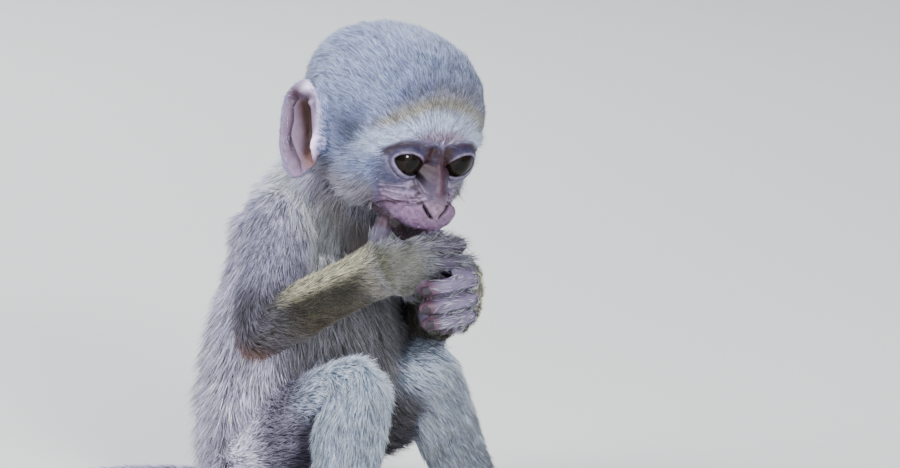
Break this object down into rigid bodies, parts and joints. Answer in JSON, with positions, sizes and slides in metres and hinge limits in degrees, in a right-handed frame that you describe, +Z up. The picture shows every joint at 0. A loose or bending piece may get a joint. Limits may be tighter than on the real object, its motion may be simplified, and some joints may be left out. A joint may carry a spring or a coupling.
{
  "type": "infant vervet monkey, sitting still model",
  "caption": "Life-size still model of an infant vervet monkey that sits hunched with its knees drawn up and its hands held to its mouth.",
  "frame": {"origin": "middle of the flat that it sits on, on the floor", "axes": "+Z up, -Y the way the animal faces, +X its left side"},
  "size_m": [0.1792, 0.1881, 0.1834],
  "materials": {
    "coat": "matt short blue-grey fur, pale on the flank and belly",
    "head_coat": "matt short blue-grey fur with a pale yellow band over a white one above a bare pink face",
    "forearm_coat": "matt short olive-grey fur",
    "shin_coat": "matt short blue-white fur",
    "tail_coat": "matt short grey fur",
    "ear": "thin satin skin, pink with red-brown hollows",
    "hand_skin": "satin dark skin with sparse pale hairs",
    "foot_skin": "satin dark skin with sparse pale hairs",
    "eye": "wet gloss, very dark brown iris"
  },
  "bodies": {
    "root": {"trunk": "coat", "neck": "coat", "head": "head_coat", "eye_right": "eye", "eye_left": "eye", "ear_right": "ear", "ear_left": "ear", "upper_arm_right": "coat", "upper_arm_left": "coat", "forearm_right": "forearm_coat", "forearm_left": "forearm_coat", "hand_right": "hand_skin", "hand_left": "hand_skin", "thigh_right": "coat", "thigh_left": "coat", "shin_right": "shin_coat", "shin_left": "shin_coat", "foot_right": "foot_skin", "foot_left": "foot_skin", "tail_base": "tail_coat", "tail_middle": "tail_coat", "tail_tip": "tail_coat"}
  },
  "joints": []
}
